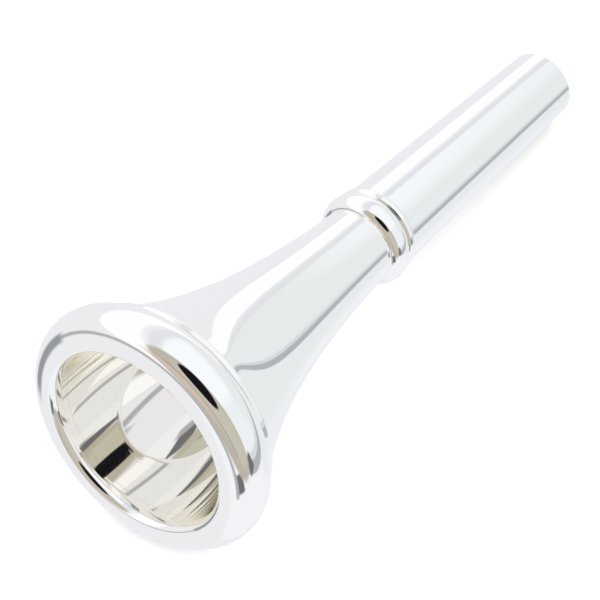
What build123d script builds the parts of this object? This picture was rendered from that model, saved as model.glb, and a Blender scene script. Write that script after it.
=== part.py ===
from build123d import *
import os
from math import acos, atan2, cos, degrees, exp, hypot, radians, sin, tan

# A French horn mouthpiece: three turned brass pieces and one rubber ring.
#   rim         screws onto the cup, so that a player can change it
#   rim_o_ring  seals the rim's joint and travels up the thread with the rim
#   cup         the flared body, with the cup cavity and the throat in it
#   shank       pushes into the cup, and its taper fits the horn's leadpipe
#
# Every piece is turned about one line, the bore. Outlines are drawn as
# (radius, height), the height measured down the bore from the front of the
# rim. Last, the pieces are laid down together on a flat surface, on which the
# mouthpiece rests by the bead of its rim and by the tip of its shank.

# ---------------------------------------------------------------- sizes, mm
overall_length = 67.2

# rim
rim_diameter = 25.5
rim_wall = 3.6  # from the cup's edge out to the widest part of the bead
bead_radius = 2.7
bead_overhang = 1.4  # how far the bead stands out beyond the joint line
bite_depth = 1.3  # from the front of the rim down to the cup's edge
seat_height = 1.9  # the face inside the rim, over the end of the neck

# air column
throat_bore = 4.7
throat_top = 26.5
throat_length = 3.0
backbore_exit = 6.3
cup_lean = 0.45  # how far the cup wall leans in at first
cup_pull = 11.3
throat_pull = 10.7

# cup
lip_thickness = 0.75  # thin flange that shows behind the rim
lip_round = 0.3
lip_step = 0.35
flare_limit = 3.0  # the radius that the flare would thin to if it never ended
flare_length = 13.5  # the length over which it loses two thirds of the rest
flare_ease = 0.14  # how far it draws in just below the lip
flare_ease_length = 1.5
flare_points = 31
ring_start = 34.4
ring_width = 2.45
ring_rise = 0.42
ring_crest = 0.45  # where the ring is highest, as a share of its width
groove_rise = 0.02

# shank
collar_width = 0.95
collar_rise = 0.28
shank_diameter = 8.86
tip_diameter = 7.3
tip_round = 0.35
spigot_length = 7.0
spigot_chamfer = 0.3

# thread between rim and cup
thread_pitch = 0.75
depth_per_pitch = 0.6
crest_per_pitch = 0.16
thread_half_angle = 30.0
thread_turns = 2.2
skirt_wall = 0.9  # from the male thread's crest out to the joint line

# rubber ring
o_ring_section = 0.5

# clearances
crest_clearance = 0.07
bore_clearance = 0.12
flank_clearance = 0.04
o_ring_clearance = 0.02
push_fit_clearance = 0.02
seat_gap = 0.01  # the neck stops this far short of the rim's seat
shoulder_gap = 0.06  # the fine line behind the rim
end_gap = 0.05  # above the spigot, in the bottom of its socket
root_overlap = 0.05  # how far a ridge is sunk into the bar that carries it

# ------------------------------------------------------------ derived sizes
rim_radius = rim_diameter / 2
opening_radius = rim_radius - rim_wall
crest_radius = rim_radius - bead_radius
joint_radius = rim_radius - bead_overhang
rear_reach = bead_radius - bead_overhang
rear_angle = degrees(acos(rear_reach / bead_radius))
rim_height = bead_radius + bead_radius * sin(radians(rear_angle))

thread_depth = depth_per_pitch * thread_pitch
thread_crest_width = crest_per_pitch * thread_pitch
thread_radius = joint_radius - skirt_wall
neck_radius = thread_radius - thread_depth
rim_bore_radius = neck_radius + bore_clearance
groove_radius = thread_radius + crest_clearance
neck_top = seat_height + seat_gap
shoulder = rim_height + shoulder_gap
pocket_depth = o_ring_section + 2 * o_ring_clearance
o_ring_radius = rim_bore_radius - o_ring_clearance - o_ring_section / 2
o_ring_height = seat_height + o_ring_clearance + o_ring_section / 2
pocket_radius = rim_bore_radius - pocket_depth
pocket_bottom = seat_height + pocket_depth
thread_start = pocket_bottom + thread_pitch / 2

throat_radius = throat_bore / 2
throat_bottom = throat_top + throat_length
backbore_radius = backbore_exit / 2
flare_top = shoulder + lip_thickness
flare_radius = joint_radius - lip_step
shank_radius = shank_diameter / 2
tip_radius = tip_diameter / 2
joint_height = ring_start + ring_width
shank_top = joint_height + collar_width
spigot_top = joint_height - spigot_length

turning_plane = Plane(origin=(0, 0, 0), x_dir=(1, 0, 0), z_dir=(0, -1, 0))
stand_on_end = (Align.CENTER, Align.CENTER, Align.MIN)


def turned(*edges):
    """Close an outline onto the bore line and turn it into a solid."""
    start = edges[0] @ 0
    end = edges[-1] @ 1
    closing = Polyline((end.X, end.Y), (0, end.Y), (0, start.Y), (start.X, start.Y))
    face = make_face([*edges, *closing.edges()])
    return revolve(turning_plane * face, axis=Axis.Z)


def bar(radius, bottom, top):
    """A plain round bar on the bore line."""
    return Pos(0, 0, bottom) * Cylinder(radius, top - bottom, align=stand_on_end)


def thread_ridge(root_radius, crest_radius, crest_width, start, turns):
    """A helical ridge with straight flanks, its root on root_radius."""
    depth = crest_radius - root_radius
    root_width = crest_width + 2 * depth * tan(radians(thread_half_angle))
    path = Helix(pitch=thread_pitch, height=turns * thread_pitch, radius=root_radius)
    profile = Polygon(
        (0, -root_width / 2),
        (depth, -crest_width / 2),
        (depth, crest_width / 2),
        (0, root_width / 2),
        align=None,
    )
    plane = Plane(origin=path @ 0, x_dir=(1, 0, 0), z_dir=path % 0)
    return Pos(0, 0, start) * sweep(plane * profile, path=path, is_frenet=True)


def flare(height):
    """Radius of the flare, which dies away like a horn's bell."""
    fall = exp((flare_top - height) / flare_length)
    ease = flare_ease * exp((flare_top - height) / flare_ease_length)
    return flare_limit + (flare_radius - flare_limit) * fall - ease


def backbore_at(height):
    """Radius of the backbore, which widens steadily down to the tip."""
    share = (height - throat_bottom) / (overall_length - throat_bottom)
    return throat_radius + (backbore_radius - throat_radius) * share


# ------------------------------------------------------------ the air column
# One air column runs through all the pieces: the cup draws in to the throat,
# the throat is straight, and the backbore widens steadily to the tip.
past_end = 1.0
cup_cavity = turned(
    Line((opening_radius, -past_end), (opening_radius, bite_depth)),
    Bezier(
        (opening_radius, bite_depth),
        (opening_radius - cup_lean, bite_depth + cup_pull),
        (throat_radius, throat_top - throat_pull),
        (throat_radius, throat_top),
    ),
)
throat = bar(throat_radius, throat_top, throat_bottom)
far_height = overall_length + past_end
backbore = turned(
    Line((throat_radius, throat_bottom), (backbore_at(far_height), far_height))
)
air_column = cup_cavity + throat + backbore

# ------------------------------------------------------------------- the rim
# A round bead with an oval bite on its inner side, which ends at the sharp
# edge of the cup. Its back is bored and threaded to take the neck of the cup.
rim_blank = turned(
    EllipticalCenterArc(
        (crest_radius, bite_depth),
        crest_radius - opening_radius,
        bite_depth,
        start_angle=180,
        arc_size=90,
    ),
    CenterArc((crest_radius, bead_radius), bead_radius, -90, 90 + rear_angle),
)
neck_bore = bar(rim_bore_radius, seat_height, rim_height + past_end)
# The tap that threads it leads the neck's ridge by half a turn and runs out at
# the back.
groove_lead = 0.5
groove_start = thread_start - groove_lead * thread_pitch
groove_turns = (rim_height - groove_start) / thread_pitch + groove_lead
crest_loss = 2 * crest_clearance * tan(radians(thread_half_angle))
groove = thread_ridge(
    rim_bore_radius - root_overlap,
    groove_radius,
    thread_crest_width - crest_loss + 2 * flank_clearance,
    groove_start,
    groove_turns,
)
tap = neck_bore + Rot(0, 0, -360 * groove_lead) * groove
rim = rim_blank - tap - air_column

# ------------------------------------------------------------ the rubber ring
# It lies in the pocket between the rim's seat and the step cut in the neck.
rim_o_ring = Pos(0, 0, o_ring_height) * Torus(o_ring_radius, o_ring_section / 2)

# ------------------------------------------------------------------- the cup
# Neck, shoulder and lip, then the long flare, then the ring at its foot. The
# rim seats on the shoulder. The socket for the shank is bored from below.
lip_top = flare_top - lip_round
flare_outline = Spline(
    [
        (flare(height), height)
        for height in (
            flare_top + (ring_start - flare_top) * i / (flare_points - 1)
            for i in range(flare_points)
        )
    ]
)
groove_floor = shank_radius + groove_rise
neck_and_lip = Polyline(
    (pocket_radius, neck_top),
    (pocket_radius, pocket_bottom),
    (neck_radius, pocket_bottom),
    (neck_radius, shoulder),
    (joint_radius, shoulder),
    (joint_radius, lip_top),
)
cup_blank = turned(
    *neck_and_lip.edges(),
    CenterArc((joint_radius - lip_round, lip_top), lip_round, 0, 90),
    Line((joint_radius - lip_round, flare_top), (flare(flare_top), flare_top)),
    flare_outline,
    ThreePointArc(
        (flare(ring_start), ring_start),
        (shank_radius + ring_rise, ring_start + ring_crest * ring_width),
        (groove_floor, joint_height),
    ),
)
ridge = thread_ridge(
    neck_radius - root_overlap,
    thread_radius,
    thread_crest_width,
    thread_start,
    thread_turns,
)
spigot_radius = (backbore_at(joint_height) + flare(ring_start)) / 2
socket = bar(
    spigot_radius + push_fit_clearance, spigot_top - end_gap, joint_height + past_end
)
cup = cup_blank + ridge - socket - air_column

# ----------------------------------------------------------------- the shank
# The spigot goes up into the cup as far as the collar, which meets the ring in
# a fine groove. Below it the taper runs to the rounded tip.
shank_outline = Polyline(
    (spigot_radius - spigot_chamfer, spigot_top),
    (spigot_radius, spigot_top + spigot_chamfer),
    (spigot_radius, joint_height),
    (groove_floor, joint_height),
)
shank_blank = turned(
    *shank_outline.edges(),
    ThreePointArc(
        (groove_floor, joint_height),
        (shank_radius + collar_rise, joint_height + collar_width / 2),
        (shank_radius, shank_top),
    ),
    Line((shank_radius, shank_top), (tip_radius, overall_length - tip_round)),
    CenterArc(
        (tip_radius - tip_round, overall_length - tip_round), tip_round, 0, 90
    ),
)
shank = shank_blank - air_column

# ------------------------------------------------------------------ laid down
# The surface touches the bead's circle and the tip's rounding: their common
# tangent gives the slope of the bore.
rise = crest_radius - (tip_radius - tip_round)
run = overall_length - tip_round - bead_radius
slope = acos((tip_round - bead_radius) / hypot(rise, run)) - atan2(run, rise)
bore_height = crest_radius * cos(slope) + bead_radius * sin(slope) + bead_radius
lay_down = Pos(0, 0, bore_height) * Rot(-90 - degrees(slope), 0, 0)

pieces = {"rim": rim, "rim_o_ring": rim_o_ring, "cup": cup, "shank": shank}
laid = {name: lay_down * piece for name, piece in pieces.items()}
box = Compound(children=[piece.solid() for piece in laid.values()]).bounding_box()
to_middle = Pos(0, -(box.min.Y + box.max.Y) / 2, 0)

os.makedirs("parts", exist_ok=True)
for name, piece in laid.items():
    export_step(to_middle * piece, f"parts/{name}.step")

print("bore slope, degrees", degrees(slope))
print("bore height at the rim's front", bore_height)
print("rim's front along Y", to_middle.position.Y)
print("spigot radius", spigot_radius, "top", spigot_top)
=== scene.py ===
# %% [markdown]
# # A French horn mouthpiece in silver plate
# A lesson in making polished metal look like metal. A mirror has hardly any
# colour of its own: it shows the room around it. So half of this lesson is about
# turning the pieces smoothly enough, and half is about building the room.

from math import acos, atan2, cos, exp, floor, hypot, pi, radians, sin, tan, tau

import bpy
from mathutils import Matrix, Vector


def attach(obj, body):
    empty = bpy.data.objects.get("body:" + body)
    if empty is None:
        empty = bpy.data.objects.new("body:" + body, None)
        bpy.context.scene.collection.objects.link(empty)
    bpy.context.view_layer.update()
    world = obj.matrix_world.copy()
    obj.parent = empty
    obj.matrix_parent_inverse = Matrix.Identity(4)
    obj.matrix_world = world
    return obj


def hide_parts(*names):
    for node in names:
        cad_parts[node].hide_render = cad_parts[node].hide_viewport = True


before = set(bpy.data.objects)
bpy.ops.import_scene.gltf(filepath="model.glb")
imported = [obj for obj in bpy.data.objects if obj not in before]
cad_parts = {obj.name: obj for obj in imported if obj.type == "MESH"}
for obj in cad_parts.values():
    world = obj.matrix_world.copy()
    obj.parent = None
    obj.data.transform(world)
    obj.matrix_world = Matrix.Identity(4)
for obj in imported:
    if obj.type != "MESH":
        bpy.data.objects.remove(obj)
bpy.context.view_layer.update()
MM = 0.001

# %% [markdown]
# A mouthpiece is made on a lathe, so every surface is an outline turned about one
# line, the bore. Outlines here are in millimetres: distance from the bore, then
# depth measured from the front of the rim. The mouthpiece lies on its side, so
# the bore slopes down a little towards the tip.

# %% Sizes of the turned pieces, mm
OVERALL = 67.2
RIM_RADIUS = 12.75
OPENING_RADIUS = 9.15
BEAD = 2.7
BITE_DEPTH = 1.3
CREST_RADIUS = RIM_RADIUS - BEAD
JOINT_RADIUS = RIM_RADIUS - 1.4
RIM_REAR = BEAD + (BEAD**2 - (JOINT_RADIUS - CREST_RADIUS) ** 2) ** 0.5
SEAT = 1.9
THREAD_RADIUS = JOINT_RADIUS - 0.9
THREAD_PITCH = 0.75
THREAD_DEPTH = 0.45
THREAD_CREST = 0.12
THREAD_TURNS = 2.2
THREAD_FLANK = radians(30)
THREAD_RUN_OUT = 0.15  # of a turn
GROOVE_DEPTH = 0.4
GROOVE_CREST = 0.119
GROOVE_LEAD = 0.5  # of a turn ahead of the ridge
GROOVE_TURNS = 99  # runs out at the rim's back
NECK_RADIUS = THREAD_RADIUS - THREAD_DEPTH
NECK_TOP = SEAT + 0.01
BORED_RADIUS = NECK_RADIUS + 0.12
RUBBER = 0.5
POCKET = RUBBER + 0.04
POCKET_RADIUS = BORED_RADIUS - POCKET
THREAD_START = SEAT + POCKET + THREAD_PITCH / 2
THROAT_RADIUS = 2.35
THROAT_TOP = 26.5
THROAT_END = THROAT_TOP + 3.0
CUP_LEAN = 0.45
CUP_PULL = 11.3
THROAT_PULL = 10.7
BACKBORE_EXIT = 3.15
SHOULDER = RIM_REAR + 0.06
LIP_ROUND = 0.3
FLARE_TOP = SHOULDER + 0.75
FLARE_RADIUS = JOINT_RADIUS - 0.35
FLARE_LIMIT = 3.0
FLARE_LENGTH = 13.5
FLARE_EASE = 0.14
FLARE_EASE_LENGTH = 1.5
RING_START = 34.4
RING_WIDTH = 2.45
SHANK_RADIUS = 4.43
GROOVE_FLOOR = SHANK_RADIUS + 0.02
COLLAR_WIDTH = 0.95
TIP_RADIUS = 3.65
TIP_ROUND = 0.35
SPIGOT_LENGTH = 7.0
SPIGOT_CHAMFER = 0.3
JOINT_DEPTH = RING_START + RING_WIDTH

# %% [markdown]
# Four little curve tools cover everything a lathe does here: an arc about a
# centre, an arc through three points, the cup's S-curve, and the flare, which
# dies away like a horn's own bell.


# %% Curves
def arc(centre, radii, start, end, steps):
    """Points on an ellipse, angles in degrees."""
    for i in range(steps + 1):
        a = radians(start + (end - start) * i / steps)
        yield (centre[0] + radii[0] * cos(a), centre[1] + radii[1] * sin(a))


def arc_through(a, b, c, steps):
    """The arc from a to c that passes through b."""
    (ax, ay), (bx, by), (cx, cy) = a, b, c
    d = 2 * (ax * (by - cy) + bx * (cy - ay) + cx * (ay - by))
    a2, b2, c2 = ax**2 + ay**2, bx**2 + by**2, cx**2 + cy**2
    x = (a2 * (by - cy) + b2 * (cy - ay) + c2 * (ay - by)) / d
    y = (a2 * (cx - bx) + b2 * (ax - cx) + c2 * (bx - ax)) / d
    first, last = (atan2(p[1] - y, p[0] - x) for p in (a, c))
    radius = hypot(ax - x, ay - y)
    for i in range(steps + 1):
        angle = first + (last - first) * i / steps
        yield (x + radius * cos(angle), y + radius * sin(angle))


def cup_curve(steps):
    """The cup's wall from its sharp edge down to the throat."""
    hull = (
        (OPENING_RADIUS, BITE_DEPTH),
        (OPENING_RADIUS - CUP_LEAN, BITE_DEPTH + CUP_PULL),
        (THROAT_RADIUS, THROAT_TOP - THROAT_PULL),
        (THROAT_RADIUS, THROAT_TOP),
    )
    for i in range(steps + 1):
        t = i / steps
        w = ((1 - t) ** 3, 3 * t * (1 - t) ** 2, 3 * t * t * (1 - t), t**3)
        yield tuple(sum(k * p[axis] for k, p in zip(w, hull)) for axis in (0, 1))


def flare(depth):
    fall = exp((FLARE_TOP - depth) / FLARE_LENGTH)
    ease = FLARE_EASE * exp((FLARE_TOP - depth) / FLARE_EASE_LENGTH)
    return FLARE_LIMIT + (FLARE_RADIUS - FLARE_LIMIT) * fall - ease


def backbore(depth):
    share = (depth - THROAT_END) / (OVERALL - THROAT_END)
    return THROAT_RADIUS + (BACKBORE_EXIT - THROAT_RADIUS) * share


def split_cup(depth):
    """The cup's wall, parted where the neck ends inside the rim."""
    wall = list(cup_curve(160))
    i = next(n for n, p in enumerate(wall) if p[1] > depth)
    (r0, s0), (r1, s1) = wall[i - 1], wall[i]
    edge = (r0 + (r1 - r0) * (depth - s0) / (s1 - s0), depth)
    return wall[:i] + [edge], [edge] + wall[i:]


# %% [markdown]
# The screw that holds the rim is a ridge that climbs one pitch in each turn. On a
# turned piece it is simply a radius that depends on both angle and depth, so the
# lathe tool below takes it as an extra height on the outline.


# %% Thread and lathe
def thread_height(angle, depth, deep, crest, first_turn, last_turn):
    """How far the thread stands off its bar at this angle and depth."""
    climb = (depth - THREAD_START) / THREAD_PITCH - angle / tau
    turn = angle / tau + floor(climb + 0.5)
    off_crest = abs(climb - floor(climb + 0.5)) * THREAD_PITCH
    foot = crest / 2 + deep * tan(THREAD_FLANK)
    rise = min(1, max(0, (foot - off_crest) / (foot - crest / 2)))
    fade_in = min(1, max(0, (turn - first_turn) / THREAD_RUN_OUT))
    fade_out = min(1, max(0, (last_turn - turn) / THREAD_RUN_OUT))
    return deep * rise * fade_in * fade_out


def ridge(angle, depth):
    return thread_height(angle, depth, THREAD_DEPTH, THREAD_CREST, 0, THREAD_TURNS)


def groove(angle, depth):
    shape = (GROOVE_DEPTH, GROOVE_CREST, -GROOVE_LEAD, GROOVE_TURNS)
    return thread_height(angle, depth, *shape)


def threaded(radius, start, end, shape, steps=64):
    for i in range(steps + 1):
        yield (radius, start + (end - start) * i / steps, shape)


def lathe(name, outline, body, material, around=320):
    """Turn a closed outline about the bore and lay the piece down."""
    points = []
    for p in outline:
        if not points or hypot(p[0] - points[-1][0], p[1] - points[-1][1]) > 1e-6:
            points.append(p)
    pairs = list(zip(points, points[1:] + points[:1]))
    if sum(a[0] * b[1] - b[0] * a[1] for a, b in pairs) > 0:
        points.reverse()
    verts = []
    for p in points:
        for j in range(around):
            a = tau * j / around
            r = p[0] + (p[2](a, p[1]) if len(p) > 2 else 0)
            verts.append((r * cos(a) * MM, r * sin(a) * MM, p[1] * MM))
    faces = []
    count = len(points)
    for i in range(count):
        low, high = i * around, (i + 1) % count * around
        for j in range(around):
            k = (j + 1) % around
            faces.append((low + j, high + j, high + k, low + k))
    mesh = bpy.data.meshes.new(name)
    mesh.from_pydata(verts, [], faces)
    mesh.transform(LAID_DOWN)
    mesh.polygons.foreach_set("use_smooth", [True] * len(faces))
    mesh.set_sharp_from_angle(angle=SHARP_EDGE)
    mesh.materials.append(material)
    piece = bpy.data.objects.new(name, mesh)
    bpy.context.scene.collection.objects.link(piece)
    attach(piece, body)
    print(name, count, "outline points,", len(faces), "faces")
    return piece


RIM_FRONT = Vector((0.0, -0.032778318, 0.013030051))  # metres, on the bore
BORE_SLOPE = radians(8.09453)
SHARP_EDGE = radians(24)  # steeper corners than this stay crisp
LAID_DOWN = Matrix.Translation(RIM_FRONT) @ Matrix.Rotation(-pi / 2 - BORE_SLOPE, 4, "X")

# %% [markdown]
# Silver plate is laid on brass that has been polished first, and is buffed again
# after. It is the whitest of metals, very slightly warm. A buffing wheel leaves
# hair-fine rings round the turned surface and faint cloudy patches where it
# pressed harder, too weak to see as lines but enough to stop the metal looking
# like a computer's perfect mirror.


# %% Silver plate
def node(tree, kind, inputs=(), **settings):
    n = tree.nodes.new("ShaderNode" + kind)
    for key, value in settings.items():
        setattr(n, key, value)
    for key, value in dict(inputs).items():
        if isinstance(value, bpy.types.NodeSocket):
            tree.links.new(value, n.inputs[key])
        else:
            n.inputs[key].default_value = value
    return n


def math_node(tree, operation, a, b=0.0, c=0.0):
    return node(tree, "Math", {0: a, 1: b, 2: c}, operation=operation).outputs[0]


def new_material(name, colour, metallic, roughness):
    m = bpy.data.materials.new(name)
    m.use_nodes = True
    shader = m.node_tree.nodes["Principled BSDF"]
    shader.inputs["Base Color"].default_value = (*colour, 1)
    shader.inputs["Metallic"].default_value = metallic
    shader.inputs["Roughness"].default_value = roughness
    return m, m.node_tree, shader


SILVER = (0.970, 0.957, 0.918)


def silver_plate(name, gloss, ring_strength):
    m, t, shader = new_material(name, SILVER, 1.0, gloss)
    lying = node(t, "TexCoord").outputs["Object"]
    upright = {"Vector": lying, "Rotation": (pi / 2 + BORE_SLOPE, 0.0, 0.0)}
    place = node(t, "Mapping", upright).outputs[0]
    cloud = node(t, "TexNoise", {"Vector": place, "Scale": 260.0, "Detail": 4.0})
    rough = node(
        t,
        "MapRange",
        {0: cloud.outputs[0], 1: 0.3, 2: 0.7, 3: gloss * 0.7, 4: gloss * 1.5},
    )
    t.links.new(rough.outputs[0], shader.inputs["Roughness"])
    # Fine buffing rings: noise that changes only along the bore.
    along = node(t, "Mapping", {"Vector": place, "Scale": (40.0, 40.0, 9000.0)})
    hair = node(t, "TexNoise", {"Vector": along.outputs[0], "Scale": 1.0, "Detail": 2.0})
    bump = node(
        t,
        "Bump",
        {"Strength": ring_strength, "Distance": 0.000002, "Height": hair.outputs[0]},
    )
    t.links.new(bump.outputs[0], shader.inputs["Normal"])
    return m


outer_silver = silver_plate("silver_plate_buffed", 0.030, 0.04)
shank_silver = silver_plate("silver_plate_shank", 0.036, 0.05)

# %% [markdown]
# The rubber ring is moulded nitrile: nearly black, with the soft bloom of rubber.

# %% Rubber
rubber, rubber_tree, rubber_shader = new_material("nitrile_rubber", (0.02,) * 3, 0.0, 0.6)
grain = node(
    rubber_tree,
    "TexNoise",
    {"Vector": node(rubber_tree, "TexCoord").outputs["Object"], "Scale": 4000.0},
)
bloom = node(rubber_tree, "MapRange", {0: grain.outputs[0], 3: 0.48, 4: 0.68})
rubber_tree.links.new(bloom.outputs[0], rubber_shader.inputs["Roughness"])

# %% [markdown]
# The rim: a round bead, an oval bite on its inner side that ends at the sharp
# edge of the cup, and a threaded bore behind.

# %% Rim
rim_wall, cup_wall = split_cup(NECK_TOP)
seat_edge = (rim_wall[-1][0], SEAT)
rear_angle = acos((JOINT_RADIUS - CREST_RADIUS) / BEAD) * 180 / pi
bite = (CREST_RADIUS - OPENING_RADIUS, BITE_DEPTH)
rim_outline = [
    *arc((CREST_RADIUS, BITE_DEPTH), bite, 180, 270, 40),
    *arc((CREST_RADIUS, BEAD), (BEAD, BEAD), -90, rear_angle, 110),
    (BORED_RADIUS, RIM_REAR),
    *threaded(BORED_RADIUS, RIM_REAR, SEAT + POCKET / 2, groove),
    (BORED_RADIUS, SEAT),
    seat_edge,
    *reversed([p for p in rim_wall if p[1] < SEAT]),
]
rim = lathe("rim_turned", rim_outline, "rim", outer_silver)
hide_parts("rim")

# %% [markdown]
# The rubber ring lies in the pocket between the rim's seat and the neck.

# %% Rubber ring
ring_centre = (BORED_RADIUS - 0.02 - RUBBER / 2, SEAT + 0.02 + RUBBER / 2)
ring_outline = list(arc(ring_centre, (RUBBER / 2,) * 2, 0, 360, 28))[:-1]
o_ring = lathe("rim_o_ring_moulded", ring_outline, "rim_seal", rubber, 192)
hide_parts("rim_o_ring")

# %% [markdown]
# The cup: threaded neck, thin lip, long flare, and the ring at its foot. Inside
# are the cup itself, the throat, and the socket for the shank.

# %% Cup
spigot_radius = (backbore(JOINT_DEPTH) + flare(RING_START)) / 2
socket_radius = spigot_radius + 0.02
socket_top = JOINT_DEPTH - SPIGOT_LENGTH - 0.05
lip = (JOINT_RADIUS - LIP_ROUND, FLARE_TOP - LIP_ROUND)
ring_top = (SHANK_RADIUS + 0.42, RING_START + 0.45 * RING_WIDTH)
flare_steps = 140
step = (RING_START - FLARE_TOP) / flare_steps
cup_outline = [
    (cup_wall[0][0], NECK_TOP),
    (POCKET_RADIUS, NECK_TOP),
    (POCKET_RADIUS, SEAT + POCKET),
    (NECK_RADIUS, SEAT + POCKET),
    *threaded(NECK_RADIUS, SEAT + POCKET, SHOULDER, ridge),
    (JOINT_RADIUS, SHOULDER),
    *arc(lip, (LIP_ROUND,) * 2, 0, 90, 16),
    *((flare(FLARE_TOP + i * step), FLARE_TOP + i * step) for i in range(flare_steps)),
    *arc_through(
        (flare(RING_START), RING_START), ring_top, (GROOVE_FLOOR, JOINT_DEPTH), 48
    ),
    (socket_radius, JOINT_DEPTH),
    (socket_radius, socket_top),
    (backbore(socket_top), socket_top),
    (THROAT_RADIUS, THROAT_END),
    *reversed(cup_wall),
]
cup = lathe("cup_turned", cup_outline, "cup", outer_silver)
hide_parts("cup")

# %% [markdown]
# The shank: a spigot for the cup's socket, a narrow collar, the taper that fits
# the horn, and a rounded tip with the backbore open in it.

# %% Shank
collar_end = JOINT_DEPTH + COLLAR_WIDTH
collar_top = (SHANK_RADIUS + 0.28, JOINT_DEPTH + COLLAR_WIDTH / 2)
tip = (TIP_RADIUS - TIP_ROUND, OVERALL - TIP_ROUND)
spigot_top = JOINT_DEPTH - SPIGOT_LENGTH
shank_outline = [
    (spigot_radius - SPIGOT_CHAMFER, spigot_top),
    (spigot_radius, spigot_top + SPIGOT_CHAMFER),
    (spigot_radius, JOINT_DEPTH),
    *arc_through((GROOVE_FLOOR, JOINT_DEPTH), collar_top, (SHANK_RADIUS, collar_end), 24),
    *arc(tip, (TIP_ROUND,) * 2, 0, 90, 16),
    (backbore(OVERALL), OVERALL),
    (backbore(spigot_top), spigot_top),
]
shank = lathe("shank_turned", shank_outline, "shank", shank_silver)
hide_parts("shank")

# %% [markdown]
# The floor is plain and pale. The silver mirrors the tent below instead of the
# floor, as it would on a clear sheet laid well above a white table.

# %% Floor
bpy.ops.mesh.primitive_plane_add(size=4)
ground = bpy.context.object
ground.name = "floor"
pale, _, _ = new_material("pale_floor", (0.92, 0.92, 0.92), 0.0, 0.8)
ground.data.materials.append(pale)
ground.visible_glossy = False

# %% [markdown]
# Now the room. Small shiny things are best shown inside a tent of white cloth,
# with a hole for the lens. Everything seen in the silver is part of that tent:
# walls of slightly different white, a dark gap between two of them, the warm
# wood of the camera stand, and the black lens. Each is a panel with a centre, a
# direction to measure along, and two half-widths in degrees.

# %% Directions in the tent
BORE = Vector((0.0, cos(BORE_SLOPE), -sin(BORE_SLOPE)))
ACROSS = Vector((1.0, 0.0, 0.0))
OVER = Vector((0.0, sin(BORE_SLOPE), cos(BORE_SLOPE)))
AZIMUTH = radians(36.82)
ELEVATION = radians(50.7)
level = cos(ELEVATION)
look = Vector((-sin(AZIMUTH) * level, cos(AZIMUTH) * level, -sin(ELEVATION)))
right = Vector((cos(AZIMUTH), sin(AZIMUTH), 0.0))
up = right.cross(look)
to_camera = -look
stand_way = Vector((-0.878, 0.067, 0.474))
stand_way = (stand_way - to_camera * stand_way.dot(to_camera)).normalized()


def round_bore(degrees):
    """The direction at this angle round the bore."""
    a = radians(degrees)
    return ACROSS * cos(a) + OVER * sin(a)


def grey(red, green=None, blue=None):
    """Light that looks like this, 0-255, once the silver has mirrored it."""
    out = []
    seen = (red, red if green is None else green, red if blue is None else blue)
    for v, silver in zip(seen, SILVER):
        x = v / 255
        light = x / 12.92 if x < 0.04045 else ((x + 0.055) / 1.055) ** 2.4
        out.append(light / silver)
    return (*out, 1.0)


# %% Tent
bpy.ops.mesh.primitive_uv_sphere_add(radius=0.8, segments=128, ring_count=64)
tent = bpy.context.object
tent.name = "tent"
tent_cloth = bpy.data.materials.new("tent_cloth")
tent_cloth.use_nodes = True
cloth = tent_cloth.node_tree
cloth.nodes.clear()
position = node(cloth, "TexCoord").outputs["Object"]
way = node(cloth, "VectorMath", {0: position}, operation="NORMALIZE").outputs[0]
DEGREE = pi / 180


def dot(direction):
    n = node(cloth, "VectorMath", {0: way, 1: direction}, operation="DOT_PRODUCT")
    return n.outputs["Value"]


def fade(value, limit, soft):
    """1 below the limit, 0 above it, with a soft edge."""
    n = node(
        cloth,
        "MapRange",
        {0: value, 1: (limit - soft) * DEGREE, 2: (limit + soft) * DEGREE, 3: 1.0, 4: 0.0},
        interpolation_type="SMOOTHSTEP",
    )
    return n.outputs[0]


def angles(centre, along):
    """Degrees along a panel and across it, as angle sockets."""
    u = math_node(cloth, "ARCTAN2", dot(along), dot(centre))
    w = math_node(cloth, "ARCSINE", dot(centre.cross(along)))
    return u, w


colour_now = node(cloth, "RGB").outputs[0]
colour_now.default_value = grey(240, 241, 243)
panels = 0


def lay(mask, colour, strength=1.0):
    """Put one colour over what is there already."""
    global colour_now, panels
    factor = math_node(cloth, "MULTIPLY", mask, strength)
    mix = node(
        cloth, "Mix", {0: factor, 6: colour_now, 7: colour}, data_type="RGBA"
    )
    colour_now = mix.outputs[2]
    panels += 1


def between(angle, start, end, soft):
    """1 where an angle lies between two limits, in degrees."""
    middle = (start + end) / 2 * DEGREE
    off = math_node(cloth, "SUBTRACT", angle, middle)
    return fade(math_node(cloth, "ABSOLUTE", off), (end - start) / 2, soft)


def panel(grid, u_span, w_span, colour, soft=1.5, soft_w=None, strength=1.0):
    """A rectangle of cloth, from one angle to another both ways."""
    edge_u = between(grid[0], *u_span, soft)
    edge_w = between(grid[1], *w_span, soft if soft_w is None else soft_w)
    lay(math_node(cloth, "MULTIPLY", edge_u, edge_w), colour, strength)


def strip(start, end, colour, soft=1.5, strength=1.0, reach=88):
    """A wall of the tent that runs alongside the bore."""
    middle = (start + end) / 2
    grid = angles(round_bore(middle), round_bore(middle + 90))
    half = (end - start) / 2
    panel(grid, (-half, half), (-reach, reach), colour, soft, 1.5, strength)


def disc(grid, centre, half, colour, soft=1.0):
    """An oval patch of the tent."""
    x, y = (
        math_node(cloth, "DIVIDE", math_node(cloth, "SUBTRACT", g, c * DEGREE), h)
        for g, c, h in zip(grid, centre, half)
    )
    x2 = math_node(cloth, "MULTIPLY", x, x)
    distance = math_node(cloth, "SQRT", math_node(cloth, "MULTIPLY_ADD", y, y, x2))
    lay(fade(distance, 1, soft / min(half)), colour)


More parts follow.
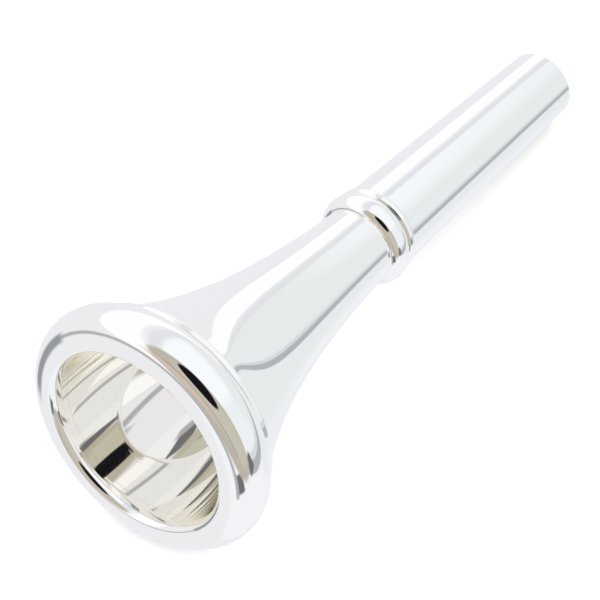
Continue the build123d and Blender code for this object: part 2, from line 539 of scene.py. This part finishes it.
# walls along the bore
strip(-85, -24, grey(242, 243, 246), 3)
strip(0, 40, grey(236, 240, 243), 3)
strip(40, 103, grey(247, 250, 253), 5)
far_end = angles(BORE, OVER)
panel(far_end, (-40, 40), (-50, 50), grey(231, 234, 235), 12)
strip(-21, -9, grey(176, 180, 185), 1.0)
strip(-9, -3, grey(212, 215, 218), 3)
strip(158, 275, grey(236, 236, 239), 2)
strip(103, 116, grey(224, 225, 228), 4, 0.9)
strip(122, 158, grey(254), 1.5)
# the stand, its edges and the lens
mouth = angles(to_camera, stand_way)
panel(mouth, (-80, -64), (-12, 4), grey(112, 112, 112), 1.5)
panel(mouth, (-80, -62), (28, 46), grey(112, 112, 112), 1.5)
panel(mouth, (-84, 140), (44, 52), grey(176, 177, 177), 2.0)
panel(mouth, (118, 160), (38, 58), grey(150, 153, 158), 4.0)
disc(mouth, (-17, 15), (58, 31), grey(186, 181, 166), 2.0)
disc(mouth, (-22, 8), (46, 19), grey(196, 193, 178), 3.0)
disc(mouth, (8, 31), (30, 8), grey(207, 188, 174), 3.0)
panel(mouth, (-52, 26), (21, 22.6), grey(132, 126, 116), 0.6)
disc(mouth, (0, 0), (20, 13), grey(22, 22, 26))
light = node(cloth, "Emission", {"Color": colour_now, "Strength": 1.0})
result = node(cloth, "OutputMaterial")
cloth.links.new(light.outputs[0], result.inputs[0])
tent.data.materials.append(tent_cloth)
tent.visible_camera = False
tent.visible_diffuse = False
tent.visible_shadow = False
print("tent panels:", panels)

# %% [markdown]
# Even white light from every side lights the floor. Light bounces many times
# inside the cup before it leaves, so more bounces than usual are allowed.

# %% Light
DAYLIGHT = 1.9
BOUNCES = 32
world = bpy.data.worlds.new("studio")
bpy.context.scene.world = world
world.use_nodes = True
world.node_tree.nodes["Background"].inputs[0].default_value = (1, 1, 1, 1)
world.node_tree.nodes["Background"].inputs[1].default_value = DAYLIGHT
bpy.context.scene.view_settings.view_transform = "Standard"
bpy.context.scene.cycles.max_bounces = BOUNCES
bpy.context.scene.cycles.glossy_bounces = BOUNCES

# %% [markdown]
# The camera stands close, above and to the right of the rim.

# %% Camera
camera_data = bpy.data.cameras.new("studio_camera")
camera_data.sensor_width = 36.0
camera_data.lens = 171.3
camera_data.clip_start = 0.01
camera_data.clip_end = 10
camera = bpy.data.objects.new("studio_camera", camera_data)
bpy.context.scene.collection.objects.link(camera)
spot = RIM_FRONT - (right * -0.014943 + up * -0.01283 + look * 0.25399)
turn = Matrix((right, up, -look)).transposed().to_4x4()
camera.matrix_world = Matrix.Translation(spot) @ turn
bpy.context.scene.camera = camera
